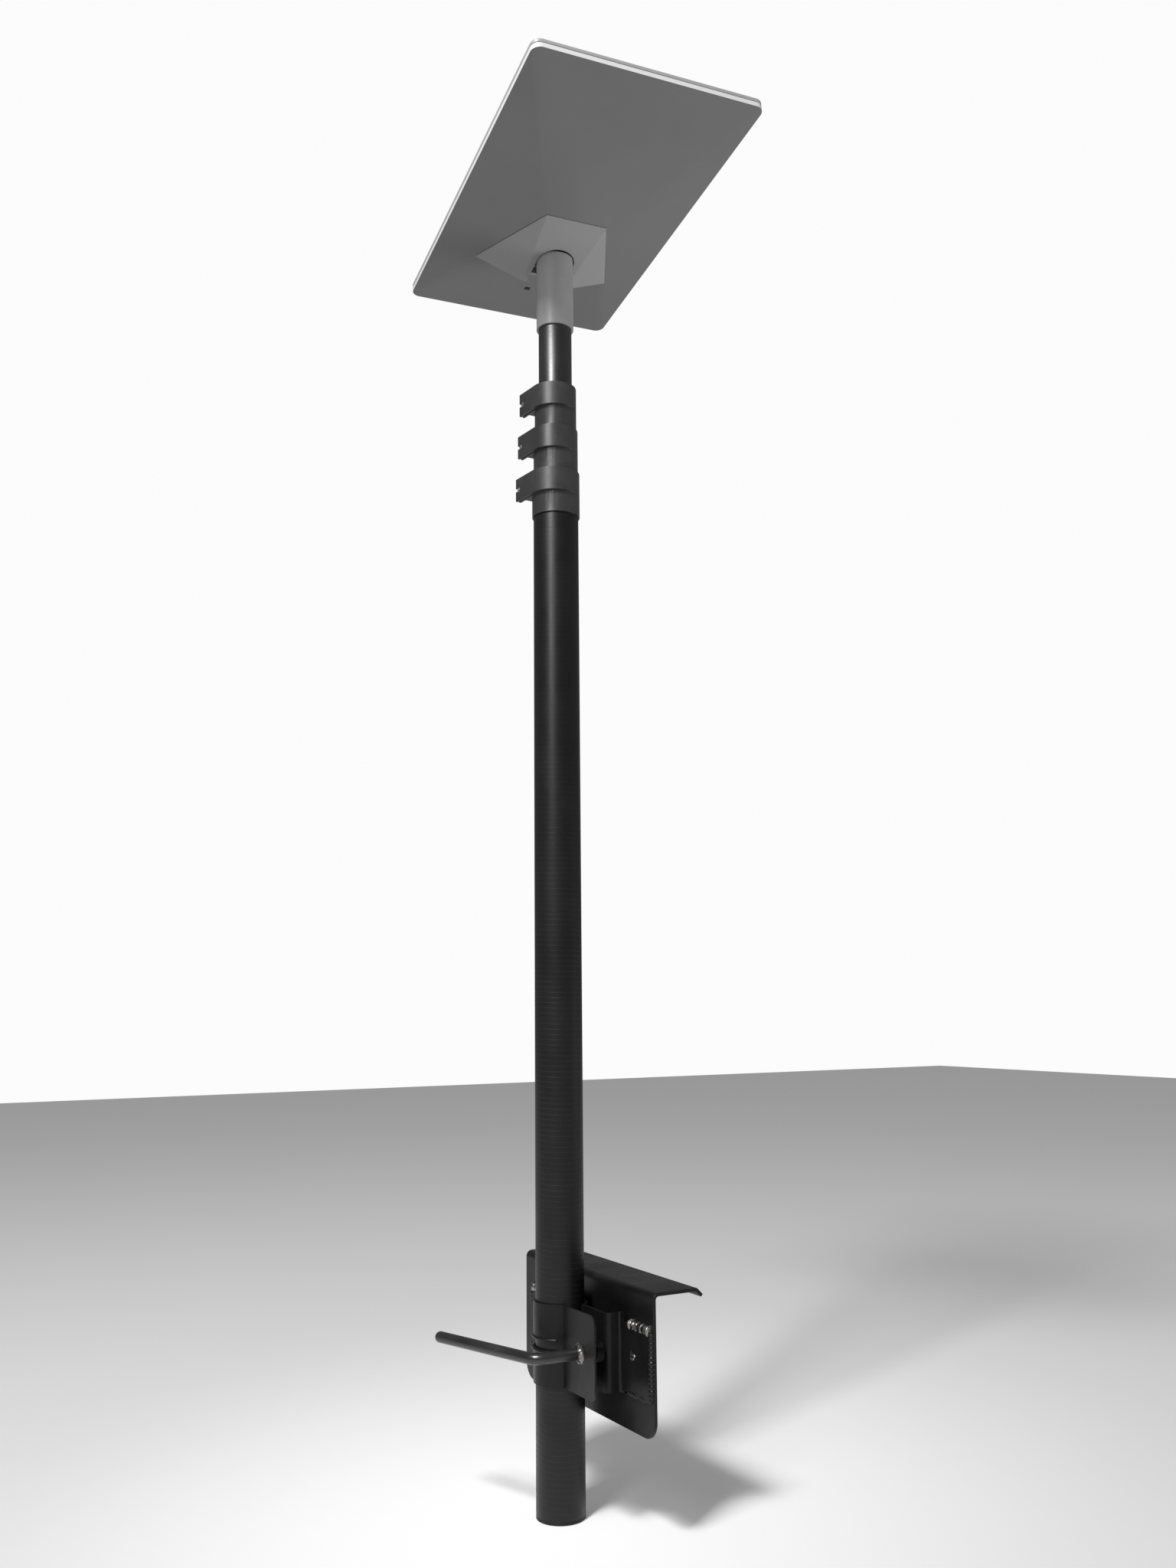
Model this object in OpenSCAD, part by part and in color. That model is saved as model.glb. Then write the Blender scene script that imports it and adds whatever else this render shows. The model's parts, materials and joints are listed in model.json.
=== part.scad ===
// Telescopic mast with a motorised flat panel head, held near its foot by a screw clamp
// on a hook-over wall plate. The pole's axis is vertical. Lengths are in millimetres.

/* [Mast] */
// Outside diameter of the base tube
base_od = 60; // [56:1:64]
// Difference in outside diameter from one tube to the next
tube_step = 5; // [5:0.5:6]
// Wall of every tube
tube_wall = 1.5; // [1.2:0.1:1.8]
// Height of the lowest collar's top above the foot
mast_h = 1311.5; // [900:1:1500]
// Length of the top tube that shows between the top collar and the stub
top_reach = 87.5; // [40:0.5:150]
// Length of the top tube inside the stub
stub_insert = 50; // [30:1:80]

/* [Collars] */
// Walls of the lower, middle and upper collar's sleeves
collar_wall = [1.8, 2.3, 3.1]; // [1.5:0.1:4]
// Height of the sleeve that is bonded to its tube
sleeve_h = 29; // [20:0.5:40]
// Height of the clamping band above the sleeve
band_h = 31; // [24:0.5:40]
// How far each clamp lug reaches past the collar's radius
lug_reach = 10.7; // [9:0.1:14]
// Thickness of a lug across its split
lug_t = 8; // [7:0.5:9]
// Thickness of the plastic liner in each band
liner_t = 2; // [1.5:0.1:2.2]
// Diameter of a collar's clamp bolt
collar_bolt_d = 7; // [6:0.2:8]
// Height of the open end of the bolt's keyhole slot
lug_slot = 4.6; // [3:0.1:6]
// How much the band's radius exceeds the sleeve's
band_swell = 2; // [1:0.1:3]
// How far the band's centre lies in front of the mast's
band_lead = 3; // [1:0.1:4]

/* [Head] */
// Length of the panel
panel_l = 510; // [420:1:600]
// Width of the panel
panel_w = 303; // [260:1:340]
// Height of the panel's rim
rim_h = 12; // [10:0.5:16]
// Radius of the panel's corners
panel_corner = 12; // [6:1:20]
// Distance from the tilt axis to the middle of the panel, along its length
panel_offset = 67; // [40:1:80]
// Height of the rim's lower edge above the tilt axis
rim_above_axis = 21; // [20:0.5:26]
// Wall of the moulded shells
shell_t = 2.5; // [2:0.1:3]
// Wall of the stub
stub_wall = 2.6; // [2:0.1:5]
// Length of the stub below the tilt axis
stub_len = 115; // [110:1:180]
// Tilt of the panel at rest, its far end up
tilt_rest = 5.8; // [0:0.1:20]
// Direction of the panel at rest, turned about the pole
azimuth_rest = -5.8; // [-180:0.1:180]
// Largest angle between the panel and its level position
tilt_limit = 50; // [20:1:50]
// Gap round the stub where it enters the hub
stub_gap = 1; // [0.8:0.1:3]

/* [Clamp] */
// Height of the clamp's lower edge above the foot
clamp_z = 155; // [60:1:400]
// Height of the strap
clamp_h = 95; // [80:1:120]
// Thickness of the strap
strap_t = 2.5; // [2:0.1:4]
// Thickness of the saddle's sheet
saddle_t = 4; // [3:0.1:5]
// Diameter of the handle's rod
rod_d = 14; // [11:0.5:16]
// Distance of the clamp screw from the base tube's side
screw_out = 41; // [32:0.5:50]
// Length of the handle's arm from its bend
handle_arm = 168; // [100:1:200]
// Angle that the handle's rod is bent through
handle_bend = 72; // [60:1:90]

/* [Wall plate] */
// Width of the hook plate
plate_w = 329; // [310:1:400]
// Sideways offset of the plate's middle from the pole
plate_shift = -10; // [-15:1:15]
// Height of the hook plate
plate_h = 162.5; // [140:0.5:220]
// Thickness of the hook plate
plate_t = 4; // [3:0.1:6]
// Height of the plate's lower edge above the foot
plate_z = 116.5; // [40:0.5:300]
// Depth of the flange that lies on the wall's top
flange_d = 61; // [40:1:120]
// Radius of the plate's lower corners
plate_corner = 22; // [10:1:30]

/* [Hidden] */
$fn = 96;
eps = 0.01;
// Clearances: bonded pieces, moving pieces, and the axle in its blocks
bond = 0.05;
seam = 0.6;
slide_gap = 0.3;
running = 0.05;

// Tubes, from the base (0) to the top tube (3)
foot_flange = 3;
foot_h = 15;
glide_flange = 6;
glide_spigot = 12;
glide_step = glide_flange + slide_gap;
function tube_r(k) = base_od / 2 - k * tube_step / 2;
function tube_bore(k) = tube_r(k) - tube_wall;
function tube_z(k) = k == 0 ? foot_flange
    : foot_h + k * glide_step + (k - 1) * glide_spigot;
collar_h = sleeve_h + band_h;
collar_pitch = collar_h + 0.5;
function collar_z(k) = mast_h - collar_h + k * collar_pitch;
stub_z = collar_z(2) + collar_h + top_reach;
axis_z = stub_z + stub_len;
function tube_top(k) = k == 3 ? stub_z + stub_insert : collar_z(k) + sleeve_h;

// Collars
lug_turn = 6;
lug_split = 1.6;
lug_flat = 12;
function collar_r(k) = tube_r(k) + collar_wall[k];
function lug_end(k) = collar_r(k) + lug_reach;
function band_bore(k) = tube_r(k + 1) + slide_gap + liner_t;
function lug_front(k) = -collar_r(k) - band_swell - band_lead;
band_side = 0.5;
bolt_in = 6.2;

// Stub and drive
stub_bore = tube_r(3) + 0.1;
stub_r = stub_bore + stub_wall;
stub_top = 12;
screw_d = 5;
spindle_r = 4;
spindle_in = 8;
shaft_r = 10;
bearing_h = 6;
shaft_len = 26;
motor_top = axis_z - stub_top - shaft_len - 5;
motor_h = motor_top - stub_z - stub_insert - 0.5;
axle_r = 4;
yoke_r = 9;
yoke_w = 50;
block_w = 10;
block_l = 16;
block_low = 7;
motor_r = 10;

// Clamp and plate
strap_r = base_od / 2 + slide_gap;
screw_x = base_od / 2 + screw_out;
ear_y = -11.3;
ear_end = screw_x + 36;
ear_corner = 12;
screw_z = clamp_z + clamp_h / 2;
saddle_gap = 5.7;
plate_y = strap_r + saddle_t + saddle_gap;
saddle_z = clamp_z + 2;
saddle_h = clamp_h - 5;
wing_low = saddle_z + 3;
wing_h = saddle_h - 14;
flange_turn = 32;
flange_y = strap_r * sin(flange_turn);
flange_end = screw_x + 11;
web_bend = 8;
web_foot = flange_end + 2 * web_bend;
wing_end = web_foot + 52;
wing_hole = 15;
pin_x = -strap_r - 27.7;
pin_y = 2;
pin_r = 3;
lug_h = 6;
lug_low = saddle_z + 8;
lug_high = saddle_z + saddle_h - 8 - lug_h;
bend_r = 18;
bend_y = -68.6;
nut_h = 10;
nut_play = 0.5;
lip_len = 11;
bend_out = 8;
bend_steps = 10;
weld_r = 4;
plug_r = 6;

// The row's origin: the middle of the plate's back face, in the pole's plane
origin = [0, plate_y + plate_t, 200];

// ---- Placing ----

module in_frame() {
    translate(-origin) children();
}

// The panel's own frame: origin on the tilt axis, +X along its length, +Z to its face
module in_panel() {
    in_frame() translate([0, 0, axis_z])
        rotate([0, 0, azimuth_rest]) rotate([0, -tilt_rest, 0]) children();
}

// The yoke's frame: it turns with the panel but doesn't tilt
module in_yoke() {
    in_frame() translate([0, 0, axis_z]) rotate([0, 0, azimuth_rest]) children();
}

// ---- Shapes ----

module pipe(r_out, r_in, h) {
    difference() {
        cylinder(r = r_out, h = h);
        translate([0, 0, -1]) cylinder(r = r_in, h = h + 2);
    }
}

// Sector of a ring, from angle a0 to a1
module arc_strip(r_in, r_out, a0, a1) {
    steps = 24;
    big = r_out * 2.2;
    intersection() {
        difference() {
            circle(r = r_out);
            circle(r = r_in);
        }
        polygon(concat([[0, 0]],
            [for (i = [0:steps]) let (a = a0 + (a1 - a0) * i / steps) big * [cos(a), sin(a)]]));
    }
}

// Straight strip of thickness t on the left of the line from a to b
module strip(a, b, t) {
    d = b - a;
    n = [-d[1], d[0]] / norm(d) * t;
    polygon([a, b, b + n, a + n]);
}

module rounded_rect(l, w, r) {
    hull() for (x = [-1, 1], y = [-1, 1])
        translate([x * (l / 2 - r), y * (w / 2 - r)]) circle(r = r, $fn = 32);
}

// ---- Hook plate and clamp ----

// Quarter turn of radius r about c, from angle a0 to a1
function arc(c, r, a0, a1) =
    [for (i = [0:bend_steps]) let (a = a0 + (a1 - a0) * i / bend_steps) c + r * [cos(a), sin(a)]];

// Side profile of the plate with its bend, flange and turned-down lip
module hook_profile() {
    top = plate_h;
    back = flange_d;
    bend = [bend_out, top - bend_out];
    lip = [back, top] + lip_len * [cos(45), -sin(45)];
    polygon(concat([[plate_t, 0], [0, 0]],
        arc(bend, bend_out, 180, 90),
        [[back, top], lip, lip - plate_t * [cos(45), sin(45)],
         [back - plate_t * tan(22.5), top - plate_t]],
        arc(bend, bend_out - plate_t, 90, 180)));
}

module hook_plate() {
    color([0.12, 0.12, 0.13]) in_frame() translate([plate_shift, plate_y, plate_z]) difference() {
        translate([-plate_w / 2, 0, 0]) rotate([90, 0, 90]) linear_extrude(plate_w) hook_profile();
        for (s = [-1, 1]) translate([s * (plate_w / 2 - plate_corner), -1, plate_corner])
            difference() {
                translate([s > 0 ? 0 : -plate_corner - 1, 0, -plate_corner - 1])
                    cube([plate_corner + 1, plate_t + 2, plate_corner + 1]);
                rotate([-90, 0, 0]) cylinder(r = plate_corner, h = plate_t + 2);
            }
    }
}

// Plan of one side of the saddle: cradle, flange, and a web with a round bend at each end
module saddle_half() {
    inner = web_bend - saddle_t;
    near = [flange_end - inner, flange_y + web_bend];
    far = [flange_end + saddle_t + inner, plate_y - web_bend];
    arc_strip(strap_r, strap_r + saddle_t, flange_turn - 2, 91);
    root_x = strap_r * cos(flange_turn) + 1;
    polygon(concat([[root_x, flange_y + saddle_t], [root_x, flange_y]],
        arc(near, web_bend, -90, 0), arc(far, inner, 180, 90),
        [far + [3, inner], far + [3, web_bend]],
        arc(far, web_bend, 90, 180), arc(near, inner, 0, -90)));
}

module clamp_saddle() {
    color([0.14, 0.14, 0.15]) in_frame() difference() {
        union() {
            translate([0, 0, saddle_z]) linear_extrude(saddle_h) intersection() {
                union() {
                    saddle_half();
                    mirror([1, 0]) saddle_half();
                }
                translate([-wing_end, 0]) square([2 * wing_end, plate_y]);
            }
            for (s = [-1, 1]) translate([s > 0 ? web_foot - web_bend : -wing_end,
                                         plate_y - saddle_t, wing_low])
                cube([wing_end - web_foot + web_bend, saddle_t, wing_h]);
            for (z = [lug_low, lug_high]) translate([0, 0, z]) linear_extrude(lug_h) {
                translate([pin_x, pin_y]) circle(r = 7);
                translate([pin_x - 7, pin_y]) square([14, flange_y - pin_y + eps]);
            }
        }
        translate([screw_x, flange_y - 1, screw_z]) rotate([-90, 0, 0])
            cylinder(r = rod_d / 2 + 2, h = saddle_t + 12);
        for (s = [-1, 1]) translate([s * (web_foot + wing_hole), plate_y - saddle_t - 1, screw_z])
            rotate([-90, 0, 0]) cylinder(r = plug_r, h = saddle_t + 2);
        translate([pin_x, pin_y, saddle_z]) cylinder(r = pin_r + bond, h = saddle_h);
    }
}

// Fillet welds round the free edges of both wings
module weld_beads() {
    len = wing_end - web_foot;
    color([0.3, 0.3, 0.31]) in_frame() for (s = [0, 1]) mirror([s, 0, 0]) difference() {
        union() {
            for (z = [wing_low, wing_low + wing_h]) translate([web_foot, plate_y, z]) {
                rotate([0, 90, 0]) cylinder(r = weld_r, h = len);
                translate([len, 0, 0]) sphere(r = weld_r);
            }
            translate([wing_end, plate_y, wing_low]) cylinder(r = weld_r, h = wing_h);
        }
        translate([web_foot - 1, plate_y - saddle_t - weld_r, wing_low - bond])
            cube([len + 1 + bond, saddle_t + 2 * weld_r, wing_h + 2 * bond]);
        translate([0, plate_y - bond, 0]) cube([2 * wing_end, 2 * weld_r, 2 * screw_z]);
    }
}

// Plug welds that fill the wings' holes, low domes
module plug_welds() {
    dome = 1.5;
    color([0.5, 0.5, 0.5]) in_frame() for (s = [-1, 1])
        translate([s * (web_foot + wing_hole), plate_y, screw_z]) rotate([90, 0, 0]) {
            cylinder(r = plug_r - bond, h = saddle_t);
            translate([0, 0, saddle_t - eps]) cylinder(r1 = plug_r - bond, r2 = plug_r - 2, h = dome);
        }
}

module screw_nut() {
    color([0.2, 0.2, 0.2]) in_frame()
        translate([screw_x, flange_y - nut_h, screw_z]) rotate([-90, 0, 0]) difference() {
            cylinder(r = rod_d / 2 + 5.5, h = nut_h);
            translate([0, 0, -1]) cylinder(r = rod_d / 2 + nut_play, h = nut_h + 2);
        }
}

module hinge_pin() {
    color([0.25, 0.25, 0.26]) in_frame() translate([pin_x, pin_y, 0]) {
        translate([0, 0, lug_low - 2]) cylinder(r = pin_r, h = lug_high + lug_h - lug_low + 2);
        translate([0, 0, lug_high + lug_h]) cylinder(r = pin_r + 2, h = 2.5);
    }
}

module clamp_strap() {
    tab_low = lug_low + lug_h + slide_gap;
    tab_h = lug_high - slide_gap - tab_low;
    knuckle = pin_r + 2.7;
    slot_h = 12;
    slot_z = screw_z - 6.5;
    ring_a = asin((-ear_y - strap_t) / strap_r);
    ear_in = strap_r * cos(ring_a);
    tab_in = (strap_r + strap_t) * cos(ring_a);
    color([0.13, 0.13, 0.14]) in_frame() difference() {
        union() {
            translate([0, 0, clamp_z]) linear_extrude(clamp_h)
                arc_strip(strap_r, strap_r + strap_t, -180 + ring_a, -ring_a);
            // Ear that the screw pulls on, its outer corners rounded
            translate([0, ear_y + strap_t, clamp_z]) rotate([90, 0, 0]) linear_extrude(strap_t) {
                translate([ear_in, 0]) square([ear_end - ear_corner - ear_in, clamp_h]);
                translate([ear_end - ear_corner - eps, ear_corner])
                    square([ear_corner, clamp_h - 2 * ear_corner]);
                for (z = [ear_corner, clamp_h - ear_corner])
                    translate([ear_end - ear_corner, z]) circle(r = ear_corner);
            }
            // Tab to the hinge and the rolled knuckle
            translate([0, 0, tab_low]) linear_extrude(tab_h) {
                strip([pin_x, pin_y - knuckle], [-tab_in, ear_y], strap_t);
                translate([pin_x, pin_y]) circle(r = knuckle);
            }
        }
        translate([pin_x, pin_y, clamp_z]) cylinder(r = pin_r + running, h = clamp_h);
        translate([screw_x, ear_y - 1, screw_z]) rotate([-90, 0, 0])
            cylinder(r = rod_d / 2 + slide_gap, h = strap_t + 2);
        translate([0, 0, slot_z]) linear_extrude(slot_h)
            arc_strip(strap_r - 2, strap_r + strap_t + 2, -150, -32);
    }
}

module clamp_handle() {
    // the rolled thread stands a little proud of the plain rod
    proud = 0.25;
    r = rod_d / 2 - proud;
    straight = bend_y + bend_r * tan(handle_bend / 2);
    tip_y = plate_y - 8;
    arm = handle_arm - bend_r * tan(handle_bend / 2);
    color([0.3, 0.3, 0.31]) in_frame() translate([screw_x, 0, screw_z]) {
        translate([0, straight - 2, 0]) rotate([-90, 0, 0])
            cylinder(d = rod_d, h = tip_y - straight + 2);
        translate([-bend_r, straight, 0]) rotate([0, 0, -handle_bend]) {
            rotate_extrude(angle = handle_bend) translate([bend_r, 0]) circle(r = r);
            translate([bend_r, 0, 0]) rotate([90, 0, 0]) {
                cylinder(r = r, h = arm);
                translate([0, 0, arm]) sphere(r = r);
            }
        }
    }
}

module handle_washer() {
    color([0.5, 0.5, 0.5]) in_frame() translate([screw_x, ear_y - slide_gap - 4, screw_z])
        rotate([-90, 0, 0]) pipe(rod_d / 2 + 4.5, rod_d / 2 + bond, 4);
}

module handle_clip() {
    color([0.4, 0.4, 0.4]) in_frame()
        translate([screw_x, ear_y + strap_t + slide_gap, screw_z])
            rotate([-90, 0, 0]) pipe(rod_d / 2 + 3, rod_d / 2 + bond, 2);
}

// ---- Tubes and collars ----

module tube(k) {
    color([0.1, 0.1, 0.11]) in_frame() translate([0, 0, tube_z(k)])
        pipe(tube_r(k), tube_bore(k), tube_top(k) - tube_z(k));
}

module foot_cap() {
    color([0.08, 0.08, 0.08]) in_frame() {
        cylinder(r = tube_r(0), h = foot_flange);
        translate([0, 0, foot_flange - eps])
            cylinder(r = tube_bore(0) - bond, h = foot_h - foot_flange + eps);
    }
}

// End plug that guides a tube in the one around it
module glide(k) {
    color([0.15, 0.15, 0.15]) in_frame() translate([0, 0, tube_z(k) - glide_flange]) {
        cylinder(r = tube_bore(k - 1) - slide_gap, h = glide_flange);
        translate([0, 0, glide_flange - eps])
            cylinder(r = tube_bore(k) - bond, h = glide_spigot + eps);
    }
}

// Band with its lug: an eccentric ring, thicker towards the lug's face
module collar_plan(k) {
    r = collar_r(k);
    e = lug_end(k);
    y = lug_front(k);
    circle(r = r);
    translate([band_side, -band_lead]) circle(r = r + band_swell);
    polygon([[band_side, y], [-e, y], [-e, y + lug_t], [-e + lug_flat, y + lug_t],
             [-r * cos(25), -r * sin(25)], [0, 0]]);
}

module collar(k) {
    r = collar_r(k);
    e = lug_end(k);
    y = lug_front(k);
    color([0.16, 0.16, 0.17]) in_frame() translate([0, 0, collar_z(k)]) rotate(lug_turn)
        difference() {
            union() {
                cylinder(r = r, h = sleeve_h + 1);
                translate([0, 0, sleeve_h]) linear_extrude(band_h) collar_plan(k);
            }
            translate([0, 0, -1]) cylinder(r = tube_r(k) + bond, h = sleeve_h + 1);
            translate([0, 0, sleeve_h - eps]) cylinder(r = band_bore(k) + bond, h = band_h + 1);
            // Split between the lug's two leaves
            translate([-e - 1, y + lug_t / 2 - lug_split / 2, sleeve_h])
                cube([e - 4, lug_split, band_h + 1]);
            // Keyhole slot for the bolt, open to the lug's end
            translate([0, y - 1, sleeve_h + band_h / 2]) {
                translate([-e + bolt_in, 0, 0]) rotate([-90, 0, 0])
                    cylinder(d = collar_bolt_d + 0.6, h = lug_t + 2);
                translate([-e - 1, 0, -lug_slot / 2]) cube([bolt_in + 1, lug_t + 2, lug_slot]);
            }
        }
}

// Split plastic ring that the next tube slides in
module liner(k) {
    color([0.25, 0.25, 0.25]) in_frame() translate([0, 0, collar_z(k) + sleeve_h + bond])
        rotate(lug_turn) difference() {
            pipe(band_bore(k), tube_r(k + 1) + slide_gap, band_h - 1);
            translate([-band_bore(k) - 1, -1.5, -1]) cube([8, 3, band_h + 1]);
        }
}

module clamp_bolt(k) {
    color([0.8, 0.8, 0.8]) in_frame() translate([0, 0, collar_z(k) + sleeve_h + band_h / 2])
        rotate(lug_turn) translate([-lug_end(k) + bolt_in, lug_front(k), 0]) rotate([-90, 0, 0])
            difference() {
                union() {
                    translate([0, 0, 0.6]) cylinder(d = collar_bolt_d, h = lug_t);
                    translate([0, 0, lug_t + bond]) cylinder(d = 10.2, h = 5);
                }
                translate([0, 0, 0.5]) cylinder(d = 4, h = 3, $fn = 6);
            }
}

// ---- Stub and azimuth drive ----

module stub_tube() {
    color([0.62, 0.62, 0.63]) in_frame() difference() {
        translate([0, 0, stub_z]) pipe(stub_r, stub_bore, stub_len - stub_top);
        at_stub_screws() cylinder(d = screw_d + 2 * bond, h = stub_r);
    }
}

module at_stub_screws() {
    for (z = [16, 40]) translate([0, 0, stub_z + z]) rotate([0, 90, 130])
        translate([0, 0, tube_r(3) + bond]) children();
}

module stub_screws() {
    color([0.75, 0.75, 0.75]) in_frame() at_stub_screws()
        cylinder(d = screw_d, h = stub_r - tube_r(3) + 0.6);
}

module azimuth_bearings() {
    color([0.7, 0.7, 0.72]) in_frame() for (s = [stub_top + 1, stub_top + 16])
        translate([0, 0, axis_z - s - bearing_h])
            pipe(stub_bore - bond, shaft_r + running, bearing_h);
}

module azimuth_motor() {
    color([0.3, 0.3, 0.32]) in_frame() difference() {
        translate([0, 0, motor_top - motor_h]) cylinder(r = stub_bore - bond, h = motor_h);
        translate([0, 0, motor_top - spindle_in]) cylinder(r = spindle_r + running, h = spindle_in + 1);
    }
}

// Driven spindle, turning in the motor and fixed in the yoke's shaft
module azimuth_spindle() {
    low = motor_top - spindle_in + slide_gap;
    high = axis_z - stub_top - shaft_len + spindle_in;
    color([0.75, 0.75, 0.77]) in_frame() translate([0, 0, low]) cylinder(r = spindle_r, h = high - low);
}

module azimuth_yoke() {
    color([0.45, 0.45, 0.47]) in_yoke() difference() {
        union() {
            translate([0, 0, -stub_top + slide_gap]) cylinder(r = 20, h = 3);
            translate([0, 0, -stub_top - shaft_len]) cylinder(r = shaft_r, h = shaft_len + 1);
            translate([-8, -yoke_w / 2 + 5, -stub_top + 3]) cube([16, yoke_w - 10, stub_top - 3]);
            translate([0, -yoke_w / 2, 0]) rotate([-90, 0, 0]) cylinder(r = yoke_r, h = yoke_w);
        }
        translate([0, -yoke_w, 0]) rotate([-90, 0, 0])
            cylinder(r = axle_r + bond, h = 2 * yoke_w);
        translate([0, 0, -stub_top - shaft_len - 1])
            cylinder(r = spindle_r + bond, h = spindle_in + 1 + slide_gap);
    }
}

module tilt_axle() {
    half = yoke_w / 2 + block_w + 4;
    color([0.75, 0.75, 0.77]) in_yoke() translate([0, -half, 0]) rotate([-90, 0, 0])
        cylinder(r = axle_r, h = 2 * half);
}

// ---- Panel ----

board_t = 2;
board_z = rim_h - shell_t - bond - board_t;
plate_sheet = 1.5;

// Depths of the pyramid's ridge ends and the hub's lower edge below the rim
ridge_l = 13.5;
ridge_w = 42.8;
ridge_depth = 27;
heel_l = -119;
heel_w = 98;
heel_depth = ridge_depth * (panel_w / 2 - heel_w) / (panel_w / 2 - ridge_w);
toe_l = -111;
toe_w = 31;
toe_depth = 43;
vent_l = -174;
vent_w = 8;

// Four corners of the hub's outline on the pyramid, moved in by d
function hub_corners(d) = [
    [ridge_l - d, -ridge_w + d, -ridge_depth], [ridge_l - d, ridge_w - d, -ridge_depth],
    [heel_l + d, heel_w - 1.5 * d, -heel_depth], [heel_l + d, -heel_w + 1.5 * d, -heel_depth]];

module at_rim() {
    translate([panel_offset, 0, rim_above_axis]) children();
}

module dots(points, lift) {
    for (p = points) translate(p + [0, 0, lift]) cube(0.02, center = true);
}

// The pyramid under the rim, with its four ridges, grown inwards by d
module pyramid(d, below) {
    hull() {
        translate([0, 0, -below]) linear_extrude(eps)
            rounded_rect(panel_l - 2 * d, panel_w - 2 * d, panel_corner - d / 2);
        dots(hub_corners(0), d);
    }
}

module rear_shell() {
    skirt = rim_h / 2;
    color([0.55, 0.55, 0.56]) in_panel() at_rim() difference() {
        union() {
            pyramid(0, 0);
            linear_extrude(skirt) rounded_rect(panel_l, panel_w, panel_corner);
        }
        pyramid(shell_t, 0.1);
        translate([0, 0, -0.2]) linear_extrude(skirt + 1)
            rounded_rect(panel_l - 2 * shell_t, panel_w - 2 * shell_t, panel_corner - shell_t);
        // Opening for the hub
        translate([0, 0, -60]) linear_extrude(60) polygon([for (p = hub_corners(6)) [p[0], p[1]]]);
        translate([vent_l, 0, -20]) cube([vent_w + 0.1, vent_w + 0.1, 60], center = true);
    }
}

// Hub below the pyramid's flat; moved in by d, its top lies above the flat and cuts it open
module hub_solid(d) {
    hull() {
        dots(hub_corners(d), d > 0 ? 1 : 0);
        dots([[toe_l + d, -toe_w + d, -toe_depth], [toe_l + d, toe_w - d, -toe_depth]], d);
    }
}

// Space that the stub sweeps as the panel tilts, in the panel's frame
module stub_sweep() {
    r = stub_r + stub_gap;
    far = 200;
    translate([0, 0, -far]) cylinder(r = r, h = far + 2);
    translate([0, r, 0]) rotate([90, 0, 0]) linear_extrude(2 * r)
        polygon([[0, 2], [0, -far], [-far, -far],
                 [-r * cos(tilt_limit) - far * sin(tilt_limit),
                  r * sin(tilt_limit) - far * cos(tilt_limit)],
                 [-r * cos(tilt_limit), r * sin(tilt_limit)], [-r * cos(tilt_limit), 2]]);
}

module hub_cover() {
    slot_wall = 2;
    wall_y = stub_r + stub_gap + slot_wall / 2;
    color([0.62, 0.62, 0.63]) in_panel() difference() {
        at_rim() translate([0, 0, -seam]) difference() {
            hub_solid(0);
            difference() {
                hub_solid(shell_t);
                // Walls beside the stub's slot, clear of the axle blocks
                for (s = [-1, 1]) translate([-panel_offset - 110, s * wall_y - slot_wall / 2, -60])
                    cube([110 - block_l / 2 - 2, slot_wall, 60]);
            }
        }
        stub_sweep();
    }
}

module rim_seal() {
    seal = 0.6;
    color([0.2, 0.2, 0.2]) in_panel() at_rim() translate([0, 0, rim_h / 2])
        linear_extrude(seal) difference() {
            rounded_rect(panel_l - 1, panel_w - 1, panel_corner - 0.5);
            rounded_rect(panel_l - 2 * shell_t, panel_w - 2 * shell_t, panel_corner - shell_t);
        }
}

module front_cover() {
    low = rim_h / 2 + 0.6;
    color([0.9, 0.9, 0.9]) in_panel() at_rim() difference() {
        translate([0, 0, low]) linear_extrude(rim_h - low)
            rounded_rect(panel_l, panel_w, panel_corner);
        translate([0, 0, low - 1]) linear_extrude(rim_h - low - shell_t + 1)
            rounded_rect(panel_l - 2 * shell_t, panel_w - 2 * shell_t, panel_corner - shell_t);
    }
}

module antenna_board() {
    color([0.1, 0.35, 0.2]) in_panel() at_rim() translate([0, 0, board_z])
        linear_extrude(board_t) rounded_rect(panel_l - 12, panel_w - 12, panel_corner - 4);
}

module support_plate() {
    color([0.7, 0.7, 0.72]) in_panel() at_rim() translate([0, 0, 3])
        linear_extrude(plate_sheet) rounded_rect(panel_l - 24, panel_w - 24, panel_corner - 4);
}

module board_spacers() {
    color([0.7, 0.7, 0.72]) in_panel() at_rim()
        for (x = [-1, 0, 1], y = [-1, 1])
            translate([x * (panel_l / 2 - 40), y * (panel_w / 2 - 40), 3 + plate_sheet])
                cylinder(r = 4, h = board_z - 3 - plate_sheet);
}

module axle_blocks() {
    top = rim_above_axis + 3;
    color([0.4, 0.4, 0.42]) in_panel() for (s = [-1, 1])
        translate([0, s * (yoke_w / 2 + slide_gap + block_w / 2), 0]) difference() {
            translate([-block_l / 2, -block_w / 2, -block_low])
                cube([block_l, block_w, top + block_low]);
            rotate([90, 0, 0]) cylinder(r = axle_r + running, h = block_w + 2, center = true);
        }
}

// Gearbox that climbs round the fixed axle, with the motor above the axle's line
module tilt_motor() {
    start = yoke_w / 2 + slide_gap + block_w;
    gearbox = 8;
    axle_in = 4.5;
    color([0.3, 0.3, 0.32]) in_panel() difference() {
        union() {
            translate([-block_l / 2, start, -block_low])
                cube([block_l, gearbox, rim_above_axis + 3 + block_low]);
            translate([0, start + gearbox - eps, rim_above_axis + 2.9 - motor_r])
                rotate([-90, 0, 0]) cylinder(r = motor_r, h = 22);
        }
        translate([0, start - 1, 0]) rotate([-90, 0, 0])
            cylinder(r = axle_r + running, h = axle_in + 1);
    }
}

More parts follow.
